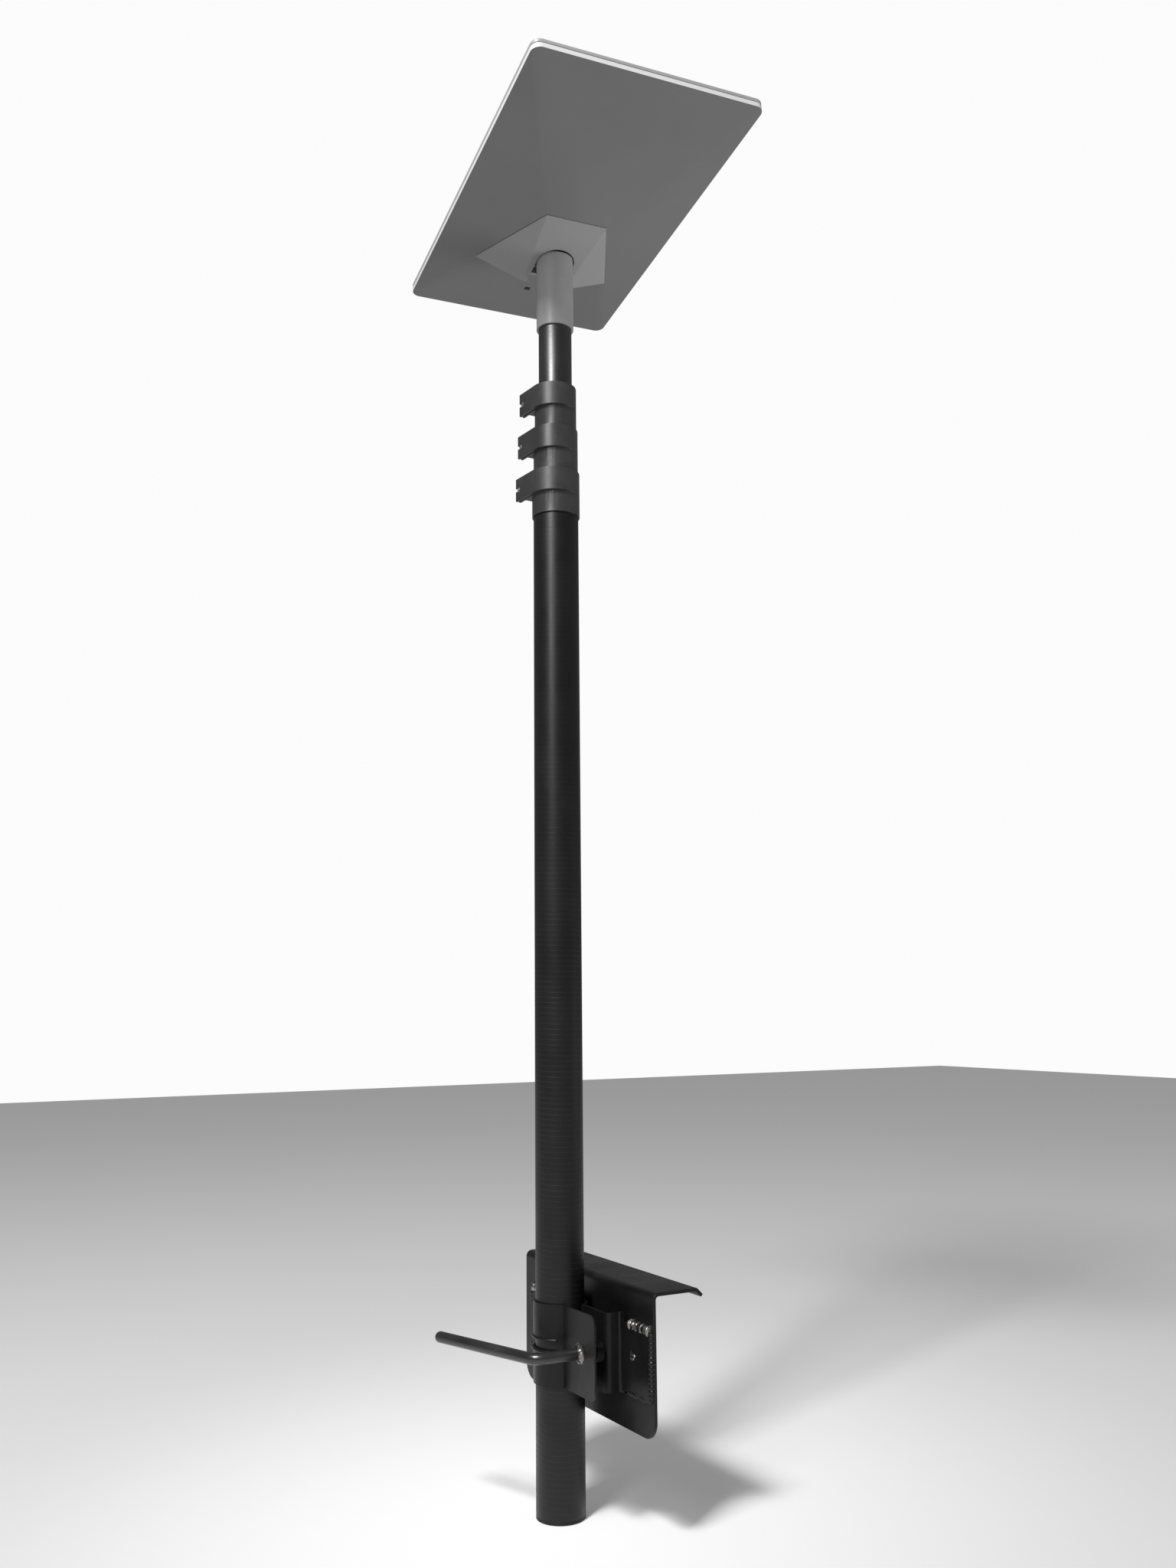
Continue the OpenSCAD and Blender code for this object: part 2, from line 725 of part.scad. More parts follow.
module vent_plug() {
    z = -heel_depth * (panel_l / 2 + vent_l) / (panel_l / 2 + heel_l);
    color([0.35, 0.35, 0.36]) in_panel() at_rim()
        translate([vent_l, 0, z + 1.4]) cube([vent_w, vent_w, 3.4], center = true);
}

module base_tube() { tube(0); }
module second_tube() { tube(1); }
module third_tube() { tube(2); }
module top_tube() { tube(3); }
module second_glide() { glide(1); }
module third_glide() { glide(2); }
module top_glide() { glide(3); }
module lower_collar() { collar(0); }
module middle_collar() { collar(1); }
module upper_collar() { collar(2); }
module lower_liner() { liner(0); }
module middle_liner() { liner(1); }
module upper_liner() { liner(2); }
module lower_clamp_bolt() { clamp_bolt(0); }
module middle_clamp_bolt() { clamp_bolt(1); }
module upper_clamp_bolt() { clamp_bolt(2); }

hook_plate();
clamp_saddle();
weld_beads();
plug_welds();
screw_nut();
hinge_pin();
clamp_strap();
clamp_handle();
handle_washer();
handle_clip();
base_tube();
foot_cap();
lower_collar();
lower_liner();
lower_clamp_bolt();
second_tube();
second_glide();
middle_collar();
middle_liner();
middle_clamp_bolt();
third_tube();
third_glide();
upper_collar();
upper_liner();
upper_clamp_bolt();
top_tube();
top_glide();
stub_tube();
stub_screws();
azimuth_bearings();
azimuth_motor();
azimuth_spindle();
azimuth_yoke();
tilt_axle();
rear_shell();
hub_cover();
rim_seal();
front_cover();
antenna_board();
support_plate();
axle_blocks();
tilt_motor();
vent_plug();
board_spacers();
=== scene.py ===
import json
import math
import bmesh
import bpy
import numpy as np
from mathutils import Matrix, Vector


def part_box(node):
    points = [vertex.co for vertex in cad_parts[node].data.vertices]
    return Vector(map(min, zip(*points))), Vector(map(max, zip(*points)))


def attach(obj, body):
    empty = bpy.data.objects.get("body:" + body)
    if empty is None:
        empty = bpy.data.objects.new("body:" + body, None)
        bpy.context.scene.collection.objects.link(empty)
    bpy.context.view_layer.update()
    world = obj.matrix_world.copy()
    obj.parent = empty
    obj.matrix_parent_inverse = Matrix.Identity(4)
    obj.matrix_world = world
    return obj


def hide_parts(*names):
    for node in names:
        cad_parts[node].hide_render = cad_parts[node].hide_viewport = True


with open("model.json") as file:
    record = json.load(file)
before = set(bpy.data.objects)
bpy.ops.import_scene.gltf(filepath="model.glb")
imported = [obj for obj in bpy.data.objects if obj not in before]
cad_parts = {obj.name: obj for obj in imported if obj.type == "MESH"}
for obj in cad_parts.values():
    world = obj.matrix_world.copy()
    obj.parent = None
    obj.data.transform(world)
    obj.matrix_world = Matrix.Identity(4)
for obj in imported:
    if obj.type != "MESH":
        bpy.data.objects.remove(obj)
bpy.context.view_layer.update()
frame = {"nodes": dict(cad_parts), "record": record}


# ---- Camera ----
# Stands low and to the handle's side of the clamp, and looks up at the panel's underside.
cam_data = bpy.data.cameras.new("camera")
cam_data.lens = 31.70
cam_data.sensor_width = 36.0
camera = bpy.data.objects.new("camera", cam_data)
bpy.context.scene.collection.objects.link(camera)
bpy.context.scene.camera = camera
heading, pitch, roll = math.radians(61.13), math.radians(8.87), math.radians(-0.49)
right = Vector((math.cos(heading), math.sin(heading), 0.0))
level_forward = Vector((-math.sin(heading), math.cos(heading), 0.0))
forward = level_forward * math.cos(pitch) + Vector((0.0, 0.0, math.sin(pitch)))
up = right.cross(forward)
tilted_right = right * math.cos(roll) + up * math.sin(roll)
tilted_up = up * math.cos(roll) - right * math.sin(roll)
turn = Matrix((tilted_right, tilted_up, -forward)).transposed().to_4x4()
camera.matrix_world = Matrix.Translation((1.5734, -0.8659, 0.4138)) @ turn


# ---- Floor and light ----
# A plain pale floor under the mast's foot. A soft key and a strip, high on the left, light the mast;
# a small lamp lights the clamp from above and a low fill the panel's underside, in a dim surround.
foot_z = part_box("foot_cap")[0][2]


class Wire:
    """A shader socket; arithmetic on it adds Math nodes, with the reflected forms."""

    def __init__(self, finish, socket):
        self.finish = finish
        self.socket = socket

    def math(self, operation, *others):
        return self.finish.node("ShaderNodeMath", {"operation": operation}, [self, *others])

    def __add__(self, other):
        return self.math("ADD", other)

    def __sub__(self, other):
        return self.math("SUBTRACT", other)

    def __mul__(self, other):
        return self.math("MULTIPLY", other)

    def __truediv__(self, other):
        return self.math("DIVIDE", other)

    def __pow__(self, other):
        return self.math("POWER", other)

    def __radd__(self, other):
        return self.math("ADD", other)

    def __rmul__(self, other):
        return self.math("MULTIPLY", other)

    def __rsub__(self, other):
        return self.finish.node("ShaderNodeMath", {"operation": "SUBTRACT"}, [other, self])


class Finish:
    """A material with one Principled shader; constants go on its sockets, patterns are wired in."""

    def __init__(self, name, colour, roughness, metallic=0.0, **constants):
        self.material = bpy.data.materials.new(name)
        self.material.use_nodes = True
        self.tree = self.material.node_tree
        self.shader = self.tree.nodes["Principled BSDF"]
        self.shader.inputs["Base Color"].default_value = (*colour, 1.0)
        self.shader.inputs["Roughness"].default_value = roughness
        self.shader.inputs["Metallic"].default_value = metallic
        for socket, value in constants.items():
            self.shader.inputs[socket.replace("_", " ")].default_value = value

    def node(self, kind, settings=None, inputs=(), output=0):
        """Adds a node: settings first, then its sockets' values or links, by position or by name."""
        made = self.tree.nodes.new(kind)
        for key, value in (settings or {}).items():
            if key == "stops":
                for stop, (place, shade) in zip(made.color_ramp.elements, value):
                    stop.position = place
                    stop.color = (shade, shade, shade, 1.0)
            else:
                setattr(made, key, value)
        pairs = inputs.items() if isinstance(inputs, dict) else enumerate(inputs)
        for key, value in pairs:
            if isinstance(value, Wire):
                self.tree.links.new(value.socket, made.inputs[key])
            else:
                made.inputs[key].default_value = value
        return Wire(self, made.outputs[output])

    def place(self):
        return self.node("ShaderNodeTexCoord", output="Object")

    def noise(self, scale, detail=3.0, roughness=0.5):
        """Cloudy field about 0.5; scale is in cells a metre."""
        return self.node("ShaderNodeTexNoise", None, {"Vector": self.place(), "Scale": scale,
                                                      "Detail": detail, "Roughness": roughness})

    def level(self, value, low, high):
        """A noise field, nearly all of it between 0.3 and 0.7, carried to the range low to high."""
        return self.node("ShaderNodeMapRange", None, {"Value": value, "From Min": 0.3, "From Max": 0.7,
                                                      "To Min": low, "To Max": high})

    def drive(self, socket, wire):
        """Wires a pattern to one of the shader's sockets."""
        self.tree.links.new(wire.socket, self.shader.inputs[socket])

    def tint(self, mask, dark, light):
        """Base colour between dark and light by mask."""
        made = self.tree.nodes.new("ShaderNodeMix")
        made.data_type = "RGBA"
        made.inputs["A"].default_value = (*dark, 1.0)
        made.inputs["B"].default_value = (*light, 1.0)
        self.tree.links.new(mask.socket, made.inputs["Factor"])
        self.tree.links.new(made.outputs["Result"], self.shader.inputs["Base Color"])

    def bump(self, height, distance, strength):
        """Relief in the normal: height times distance in metres."""
        made = self.tree.nodes.new("ShaderNodeBump")
        made.inputs["Strength"].default_value = strength
        made.inputs["Distance"].default_value = distance
        self.tree.links.new(height.socket, made.inputs["Height"])
        self.tree.links.new(made.outputs["Normal"], self.shader.inputs["Normal"])


def surface(name, points, close_u=True, close_v=False, material=None, sharp=40.0):
    """Mesh from a grid of points[i, j] = P(u_i, v_j): each cell is a quad, and a closed direction
    wraps round. An end of an open v direction is closed by one face over its ring."""
    nu, nv = points.shape[:2]
    i, j = np.meshgrid(np.arange(nu if close_u else nu - 1), np.arange(nv if close_v else nv - 1),
                       indexing="ij")
    i2, j2 = (i + 1) % nu, (j + 1) % nv
    quads = np.stack([i * nv + j, i2 * nv + j, i2 * nv + j2, i * nv + j2], axis=-1).reshape(-1, 4)
    faces = quads.tolist()
    if close_u and not close_v:
        faces.append((np.arange(nu)[::-1] * nv).tolist())
        faces.append((np.arange(nu) * nv + nv - 1).tolist())
    mesh = bpy.data.meshes.new(name)
    mesh.from_pydata(points.reshape(-1, 3).tolist(), [], faces)
    mesh.update()
    mesh.shade_smooth()
    mesh.set_sharp_from_angle(angle=math.radians(sharp))
    made = bpy.data.objects.new(name, mesh)
    bpy.context.scene.collection.objects.link(made)
    if material:
        mesh.materials.append(material)
    return made


floor_finish = Finish("pale_floor", (0.86, 0.86, 0.86), 0.8, Emission_Strength=0.13,
                      Emission_Color=(1.0, 1.0, 1.0, 1.0))
grain = floor_finish.noise(40.0)
floor_finish.drive("Roughness", floor_finish.level(grain, 0.75, 0.85))
floor_reach, floor_gap = 8.0, 0.0005
floor_points = np.array([[(x, y, foot_z - floor_gap) for y in (-floor_reach, floor_reach)]
                         for x in (-floor_reach, floor_reach)])
floor = surface("floor", floor_points, close_u=False, material=floor_finish.material)

world = bpy.data.worlds.new("surround")
world.use_nodes = True
sky = world.node_tree
backdrop_white, surround_strength = 0.97, 0.19
seen, cast_light = sky.nodes["Background"], sky.nodes.new("ShaderNodeBackground")
for shade, strength in ((seen, backdrop_white), (cast_light, surround_strength)):
    shade.inputs["Color"].default_value = (1.0, 1.0, 1.0, 1.0)
    shade.inputs["Strength"].default_value = strength
path, mixed = sky.nodes.new("ShaderNodeLightPath"), sky.nodes.new("ShaderNodeMixShader")
sky.links.new(path.outputs["Is Camera Ray"], mixed.inputs[0])
sky.links.new(cast_light.outputs[0], mixed.inputs[1])
sky.links.new(seen.outputs[0], mixed.inputs[2])
sky.links.new(mixed.outputs[0], sky.nodes["World Output"].inputs["Surface"])
bpy.context.scene.world = world
bpy.context.scene.view_settings.view_transform = "Standard"


def soft_light(name, place, aim, width, height, power, spread=180.0):
    """Area light of width by height at place, facing aim; spread is the angle of its beam."""
    data = bpy.data.lights.new(name, "AREA")
    data.shape = "RECTANGLE"
    data.size = width
    data.size_y = height
    data.energy = power
    data.spread = math.radians(spread)
    made = bpy.data.objects.new(name, data)
    bpy.context.scene.collection.objects.link(made)
    made.location = place
    made.rotation_euler = (Vector(aim) - Vector(place)).to_track_quat("-Z", "Y").to_euler()


soft_light("key", (1.3, -2.3, 3.6), (0, 0, 0.9), 0.7, 0.9, 88.0, spread=150.0)
soft_light("upper_strip", (1.6, -2.3, 2.1), (0, 0, 1.4), 0.5, 0.9, 7.0, spread=110.0)
soft_light("clamp_light", (0.9, -1.3, 2.2), (0, -0.1, 0.05), 0.3, 0.3, 0.8, spread=28.0)
soft_light("underside_fill", (0.9, 1.6, 0.3), (0.05, 0, 1.45), 1.0, 1.0, 2.6, spread=50.0)


# ---- Wall plate ----
# Sheet steel, folded back over the wall's top and turned down at its back edge, then powder coated
# in satin black. Its edges are deburred, so each is slightly round.
body_of = {node: body for body, nodes in frame["record"]["behaviour"]["bodies"].items()
           for node in nodes}


def dressed_copy(node, material, edge, angle=35.0, segments=2):
    """The CAD node's own shape with its loose triangles merged and its edges rounded to edge metres
    where two faces meet at more than angle degrees; it stands for the node and rides on its body."""
    merge_within, flat_within = 2e-6, math.radians(0.2)
    source = frame["nodes"][node]
    mesh = source.data.copy()
    mesh.name = node + "_dressed"
    shape = bmesh.new()
    shape.from_mesh(mesh)
    bmesh.ops.remove_doubles(shape, verts=shape.verts, dist=merge_within)
    bmesh.ops.dissolve_limit(shape, angle_limit=flat_within, verts=shape.verts, edges=shape.edges)
    shape.to_mesh(mesh)
    shape.free()
    mesh.materials.clear()
    mesh.materials.append(material)
    mesh.shade_smooth()
    mesh.set_sharp_from_angle(angle=math.radians(angle))
    made = bpy.data.objects.new(node + "_dressed", mesh)
    bpy.context.scene.collection.objects.link(made)
    if edge > 0:
        bevel = made.modifiers.new("edge", "BEVEL")
        bevel.width = edge
        bevel.segments = segments
        bevel.limit_method = "ANGLE"
        bevel.angle_limit = math.radians(angle)
        bevel.harden_normals = True
    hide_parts(node)
    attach(made, body_of[node])
    return made


def powder_coat(name, colour, roughness, gloss=0.3, peel=0.5):
    """Powder coat: a fine orange peel in the gloss layer, and faint dust that dulls it in patches."""
    coat = Finish(name, colour, roughness, Specular_IOR_Level=gloss)
    skin = coat.noise(700.0, 2.0)
    dust = coat.noise(14.0, 5.0, 0.65)
    coat.drive("Roughness", coat.level(dust, roughness - 0.06, roughness + 0.14))
    coat.tint(coat.level(dust, 0.0, 1.0), colour, tuple(c * 1.9 + 0.002 for c in colour))
    peel_depth = 0.00008
    coat.bump(skin, peel_depth, peel)
    return coat.material


plate_coat = powder_coat("plate_powder_coat", (0.0028, 0.0028, 0.003), 0.32, gloss=0.3)
dressed_copy("hook_plate", plate_coat, 0.0009, segments=3)

# ---- Saddle ----
# The fixed half of the tube clamp, pressed from sheet: a cradle behind the tube with a flange on
# each side, feet that turn out onto the plate and lugs for the strap's hinge.
dressed_copy("clamp_saddle", plate_coat, 0.0009, segments=3)

# ---- Welds ----
# Fillet beads round the free edges of each foot, laid in overlapping ripples, all under the black coat:
# the top bead takes the weld finish, whose light patches are painted highlights, and the beads down the
# side and below take the coat itself. A sunken plug fills each foot's hole.
def along(name, path, radius, square, material, sharp=60.0):
    """Rod along a path that lies in one plane: the point at angle a is path + r(a, s) * (cos a * n +
    sin a * square), where square is the plane's normal and n = square x the path's direction."""
    heading = np.gradient(path, axis=0)
    heading /= np.linalg.norm(heading, axis=1)[:, None]
    square = np.asarray(square, dtype=float)
    n = np.cross(square, heading)
    a = np.arange(radius.shape[0]) * 2 * np.pi / radius.shape[0]
    points = path[None] + radius[..., None] * (np.cos(a)[:, None, None] * n[None]
                                               + np.sin(a)[:, None, None] * square)
    return surface(name, points, material=material, sharp=sharp)


def ripples(length, size, pitch, seed):
    """Places s along a bead and the radius there: size times 0.82 to 1.08 in |sin| scallops of the
    given pitch, with a slow wander, thinned by a square root over the last 2 mm at each end."""
    step, end_length = 0.0006, 0.002
    wander_by, wander_knots = 0.22, 16
    s = np.linspace(0, length, int(length / step) + 2)
    wander = np.random.default_rng(seed).uniform(-wander_by, wander_by, wander_knots)
    wander = np.interp(s, np.linspace(0, length, wander_knots), wander)
    taper = np.sqrt(np.clip(np.minimum(s, length - s) / end_length, 0.03, 1.0))
    return s, size * (0.82 + 0.26 * np.abs(np.sin(np.pi * s / pitch)) + wander) * taper


# Weld finish: black coat with light metal patches, which are painted glints; used on the top beads, the
# plug lumps and the handle's weld ring.
weld = Finish("weld_metal", (0.2, 0.2, 0.2), 0.35, 1.0)
coat_and_painted_glint_tone = weld.noise(260.0, 4.0)
weld.tint(weld.level(coat_and_painted_glint_tone, 0.0, 1.0), (0.012, 0.012, 0.012), (0.42, 0.41, 0.40))
weld.drive("Roughness", weld.level(coat_and_painted_glint_tone, 0.22, 0.5))
weld.bump(weld.noise(900.0), 0.0001, 0.6)
weld_low, weld_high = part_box("weld_beads")
bead_sides = 20
side_r = 0.0042
top_r = side_r * 1.3
side_pitch, top_pitch = 0.0052, 0.0085
bead_corner, bead_inset = 0.004, 0.004
bead_x0, bead_x1 = 0.100, weld_high[0] - bead_inset
bead_z0, bead_z1 = weld_low[2] + bead_inset, weld_high[2] - bead_inset
plug_low, plug_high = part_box("plug_welds")
plug_r = (plug_high[2] - plug_low[2]) / 2
plug_z = (plug_high[2] + plug_low[2]) / 2
plug_face = plug_low[1] + 0.0015
plug_sides, dish_rings, lump_rings = 40, 16, 10
dish_depth, dish_back, dish_centre = 0.002, 0.003, 0.0003
lump_across, lump_high = 0.0040, 0.0026
for side, way in (("right", 1.0), ("left", -1.0)):
    s, r = ripples(bead_x1 - bead_x0, top_r, top_pitch, 3 + (way > 0))
    path = np.stack([way * (bead_x0 + s), np.full_like(s, weld_high[1]), np.full_like(s, bead_z1)], axis=1)
    bead = along("weld_top_" + side, path, np.tile(r, (bead_sides, 1)), (0, way, 0), weld.material)
    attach(bead, "bracket")
    # Down the free end, round a quarter bend, and back along the lower edge
    down, back = bead_z1 - bead_z0 - bead_corner, bead_x1 - bead_x0 - bead_corner
    bend = bead_corner * np.pi / 2
    s, r = ripples(down + bend + back, side_r, side_pitch, 5 + (way > 0))
    q = np.clip((s - down) / bead_corner, 0, np.pi / 2)
    x = bead_x1 - bead_corner * (1 - np.cos(q)) - np.clip(s - down - bend, 0, None)
    z = bead_z1 - np.clip(s, 0, down) - bead_corner * np.sin(q)
    path = np.stack([way * x, np.full_like(s, weld_high[1]), z], axis=1)
    bead = along("weld_side_" + side, path, np.tile(r, (bead_sides, 1)), (0, -way, 0), plate_coat)
    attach(bead, "bracket")
    if way > 0:
        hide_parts("weld_beads")
    # Plug: a dished disc, its depth 2 mm times 1 - (r / R)^4, and a small lump on its floor in the weld
    # finish with painted glints
    centre_x = way * (plug_high[0] - plug_r)
    ring = np.concatenate([[plug_r], np.linspace(plug_r, dish_centre, dish_rings)])
    depth = np.concatenate([[dish_back], dish_depth * (1 - (ring[1:] / plug_r) ** 4)])
    a = np.arange(plug_sides)[:, None] * 2 * np.pi / plug_sides
    dish = np.stack([centre_x + ring * np.cos(a), np.tile(plug_face + depth, (plug_sides, 1)),
                     plug_z + ring * np.sin(a)], axis=-1)
    plug = surface("plug_dish_" + side, dish, material=plate_coat)
    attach(plug, "bracket")
    if way > 0:
        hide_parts("plug_welds")
    # Lump: half an ellipsoid whose outline is a circle times 1 + sines of 3 and 5 lobes, set low
    ring = np.linspace(1.0, 0.02, lump_rings)
    lump_r = lump_across * (1 + 0.18 * np.sin(3 * a) + 0.1 * np.sin(5 * a + 1))
    lump_y = plug_face + 0.0024 - lump_high * np.sqrt(1 - ring ** 2)
    lump = np.stack([centre_x - 0.001 + lump_r * ring * np.cos(a),
                     np.broadcast_to(lump_y, (plug_sides, lump_rings)),
                     plug_z - 0.0015 + lump_r * ring * np.sin(a)], axis=-1)
    blob = surface("plug_lump_" + side, lump, material=weld.material)
    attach(blob, "bracket")

# ---- Nut and hinge pin ----
# The screw's round nut, welded to the saddle's flange and coated with it, and the zinc plated
# headed pin of the strap's hinge.
zinc = Finish("zinc_plate", (0.62, 0.62, 0.63), 0.28, 1.0)
spangle = zinc.noise(220.0, 2.0)
zinc.tint(zinc.level(spangle, 0.0, 1.0), (0.5, 0.5, 0.51), (0.74, 0.74, 0.75))
zinc.drive("Roughness", zinc.level(spangle, 0.2, 0.36))
dressed_copy("hinge_pin", zinc.material, 0.0004)
dressed_copy("screw_nut", plate_coat, 0.0008)

# ---- Strap ----
# The clamp's moving half, a sheet band bent round the tube's front with a flat ear that the screw
# pulls back, coated like the plate. The window across its front has rolled lips.
dressed_copy("clamp_strap", plate_coat, 0.0009, segments=3)
tube_low, tube_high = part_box("base_tube")
pole_y = (tube_low[1] + tube_high[1]) / 2
strap_out = pole_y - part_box("clamp_strap")[0][1]
strap_mid = (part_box("clamp_strap")[0][2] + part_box("clamp_strap")[1][2]) / 2
# Each lip is a rod round the strap's face whose radius dies away as a square root at both ends
lip_size, lip_end, lip_sides = 0.0019, 0.12, 16
a = np.radians(np.linspace(-152, -30, 90))
for side, z in (("upper", strap_mid + 0.0065), ("lower", strap_mid - 0.0075)):
    lip_r = lip_size * np.sqrt(np.clip(np.minimum(a - a[0], a[-1] - a) / lip_end, 0.02, 1.0))
    path = np.stack([strap_out * np.cos(a), pole_y + strap_out * np.sin(a), np.full_like(a, z)], axis=1)
    lip = along("window_lip_" + side, path, np.tile(lip_r, (lip_sides, 1)), (0, 0, 1), plate_coat)
    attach(lip, "strap")

# ---- Handle ----
# Round bar, its straight leg threaded where it runs in the nut and its other end bent over as a
# lever with a domed tip; satin black. A lumpy weld ring joins it to the washer on the strap's ear.
low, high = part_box("clamp_handle")
rod = (high[2] - low[2]) / 2
thread_proud, thread_pitch, thread_depth = 0.00025, 0.002, 0.0011
plain = rod - thread_proud
rod_sides = 48
screw_x, screw_z = high[0] - rod, (high[2] + low[2]) / 2
bend_r, turn_by = 0.018, math.radians(72.0)
tip = np.array([low[0] + plain, low[1] + plain])
arm_way = np.array([-math.sin(turn_by), -math.cos(turn_by)])
arm_len = (screw_x - bend_r * (1 - math.cos(turn_by)) - tip[0]) / math.sin(turn_by)
bend_y = tip[1] + bend_r * math.sin(turn_by) + arm_len * math.cos(turn_by)
ear_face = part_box("handle_washer")[1][1]
# Tip: a half ball; arm: straight; bend: an arc of bend_r; leg: straight along y to the rod's end
dome = plain * (1 - np.cos(np.linspace(0.06, np.pi / 2, 10)))
s = np.concatenate([dome, np.linspace(0.02, arm_len + plain - 0.001, 12)])
arm = tip + arm_way * (plain - s)[:, None]
dome_r = plain * np.sqrt(1 - (1 - np.clip(s / plain, 0, 1)) ** 2)
q = np.linspace(turn_by, 0, 28)
bend = np.stack([screw_x - bend_r + bend_r * np.cos(q), bend_y - bend_r * np.sin(q)], axis=1)
leg_y = np.concatenate([np.linspace(bend_y + 0.002, ear_face, 6)[:-1],
                        np.arange(ear_face, high[1], thread_pitch / 10)])
leg = np.stack([np.full_like(leg_y, screw_x), leg_y], axis=1)
path = np.concatenate([arm, bend, leg])
path = np.concatenate([path, np.full((len(path), 1), screw_z)], axis=1)
# Thread: a helical cosine groove, which starts just inside the ear's hole
a = np.arange(rod_sides)[:, None] * 2 * np.pi / rod_sides
groove = 0.5 - 0.5 * np.cos(2 * np.pi * leg_y / thread_pitch - a)
leg_r = np.where(leg_y > ear_face + 0.001, rod - thread_depth * groove ** 0.8, plain)
bend_rods = np.full((rod_sides, len(bend)), plain)
rod_radius = np.concatenate([np.tile(dome_r, (rod_sides, 1)), bend_rods, leg_r], axis=1)
handle_coat = powder_coat("handle_black", (0.010, 0.010, 0.0105), 0.27, gloss=0.75, peel=0.3)
lever = along("clamp_lever", path, rod_radius, (0, 0, 1), handle_coat, sharp=80.0)
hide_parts("clamp_handle")
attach(lever, "handle")
# Weld ring: a hollow fillet from the ear to the rod, its size times 1 + sines of 3, 7 and 11 lumps
ring_size, ring_sides, ring_sunk, ring_lift = 0.0048, 96, 0.0005, 0.0004
a = np.arange(ring_sides)[:, None] * 2 * np.pi / ring_sides
lumps = 1 + 0.10 * np.sin(3 * a + 1) + 0.07 * np.sin(7 * a + 2) + 0.05 * np.sin(11 * a)
t = np.linspace(0, np.pi / 2, 12)[None]
size = ring_size * lumps
inner_edge = np.full((ring_sides, 1), plain - ring_sunk)
ring_r = np.concatenate([inner_edge, plain + size * (1 - np.sin(t)) + ring_lift, inner_edge], axis=1)
ring_y = np.concatenate([np.full((ring_sides, 1), ear_face), ear_face - size * (1 - np.cos(t)),
                         ear_face - size], axis=1)
fillet = np.stack([screw_x + ring_r * np.cos(a), ring_y, screw_z + ring_r * np.sin(a)], axis=-1)
# The ring takes the weld finish, whose light patches are painted glints.
weld_ring = surface("weld_ring", fillet, close_v=True, material=weld.material)
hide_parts("handle_washer")
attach(weld_ring, "handle")
dressed_copy("handle_clip", zinc.material, 0.0003)

# ---- Tubes ----
# Four tubes that slide in each other, each coated satin black over a wound skin whose turns show
# as fine, nearly level lines, plainest towards the mast's foot.
def wound_coat(name, colour, roughness, gloss, pitch, depth):
    """Black coat over wound tape: a line lies where z / pitch + angle / turn is a whole number, drawn
    as a high power of a cosine wave and cut in as a shallow groove, worn away in patches."""
    coat = Finish(name, colour, roughness, Specular_IOR_Level=gloss)
    split = coat.node("ShaderNodeSeparateXYZ", inputs=[coat.place()])
    x, y, z = (Wire(coat, socket) for socket in split.socket.node.outputs)
    angle = (y - pole_y).math("ARCTAN2", x)
    phase = z * (2 * math.pi / pitch) + angle
    low_down = coat.node("ShaderNodeMapRange", None,
                         {"Value": z, "From Min": 0.75, "From Max": -0.1, "To Min": 0.3, "To Max": 1.6})
    patches = coat.level(coat.noise(35.0, 3.0), 0.1, 1.0)
    fineness = 24.0
    line = ((phase.math("COSINE") * 0.5 + 0.5) ** fineness) * low_down * patches
    dust = coat.noise(9.0, 5.0, 0.6)
    coat.drive("Roughness", coat.level(dust, roughness - 0.05, roughness + 0.1) + line * 0.1)
    coat.tint(line * 0.5 + dust * 0.25, colour, tuple(c * 4 + 0.01 for c in colour))
    coat.bump(coat.noise(420.0) * 0.12 - line, depth, 0.6)
    return coat.material


def lathe(name, profile, centre, material, body, *nodes, sides=128):
    """Surface of revolution about the upright line through centre: the point (r, z) of the closed
    profile sweeps to (cx + r cos a, cy + r sin a, z) as a goes once round."""
    profile = np.array(profile)
    a = np.arange(sides) * 2 * np.pi / sides
    points = np.empty((sides, len(profile), 3))
    points[..., 0] = centre[0] + profile[None, :, 0] * np.cos(a)[:, None]
    points[..., 1] = centre[1] + profile[None, :, 0] * np.sin(a)[:, None]
    points[..., 2] = profile[None, :, 1]
    made = surface(name, points, close_v=True, material=material)
    if nodes:
        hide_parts(*nodes)
    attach(made, body)
    return made


def ring_profile(r_in, r_out, z0, z1, edge, steps=4):
    """Counterclockwise section of a pipe with its four edges rounded to edge."""
    corners = [(r_out - edge, z0 + edge, -90), (r_out - edge, z1 - edge, 0),
               (r_in + edge, z1 - edge, 90), (r_in + edge, z0 + edge, 180)]
    return [(r + edge * math.cos(math.radians(a0 + 90 * k / steps)),
             z + edge * math.sin(math.radians(a0 + 90 * k / steps)))
            for r, z, a0 in corners for k in range(steps + 1)]


pole = (0.0, pole_y)
tube_wall, tube_edge, tape_pitch = 0.0015, 0.0004, 0.0065
base_coat = wound_coat("base_black_coat", (0.0035, 0.0035, 0.0038), 0.38, 0.34, tape_pitch, 0.00022)
inner_coat = wound_coat("inner_black_coat", (0.0045, 0.0045, 0.005), 0.36, 1.0, tape_pitch, 0.00010)
for part, body in (("base_tube", "mast_base"), ("second_tube", "second_section"),
                   ("third_tube", "third_section"), ("top_tube", "top_section")):
    low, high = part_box(part)
    r_out = (high[0] - low[0]) / 2
    lathe(part + "_wound", ring_profile(r_out - tube_wall, r_out, low[2], high[2], tube_edge),
          pole, base_coat if part == "base_tube" else inner_coat, body, part)

